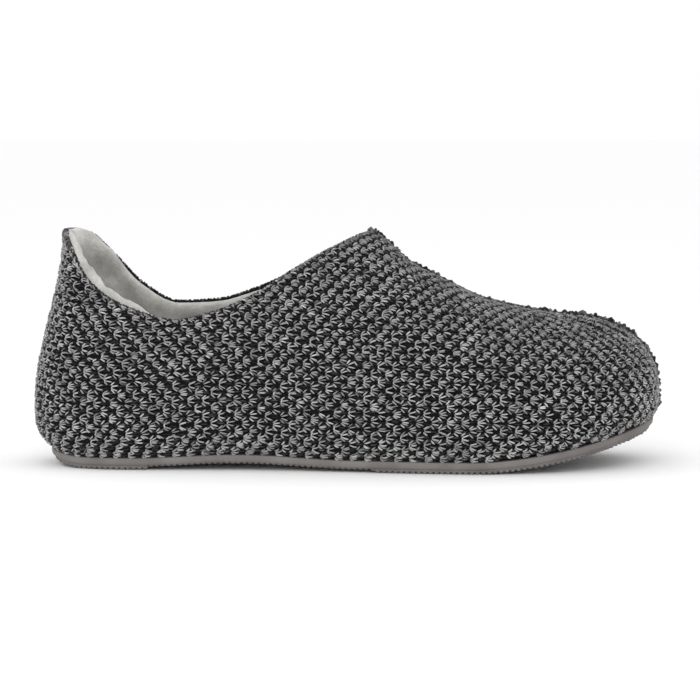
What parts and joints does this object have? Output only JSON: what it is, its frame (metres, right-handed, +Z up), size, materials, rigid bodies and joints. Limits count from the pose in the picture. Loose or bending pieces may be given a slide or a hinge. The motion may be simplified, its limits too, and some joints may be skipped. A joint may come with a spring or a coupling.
{
  "type": "house slipper",
  "caption": "Knitted house slipper for a right foot: hollow fleece-lined upper with an open collar, raised vamp seam, footbed and a moulded rubber sole.",
  "frame": {"origin": "on the floor, under the middle of the slipper's box", "axes": "+X from heel to toe, +Y to the inner side of the foot, +Z up"},
  "size_m": [0.268, 0.1048, 0.0992],
  "materials": {
    "rubber": "matt moulded rubber",
    "fleece": "soft curly pile",
    "knit": "chunky grey melange knit",
    "seam_yarn": "knobbly dark yarn"
  },
  "bodies": {
    "root": {"outsole": "rubber", "footbed": "fleece", "upper": "knit", "vamp_seam": "seam_yarn"}
  },
  "joints": []
}
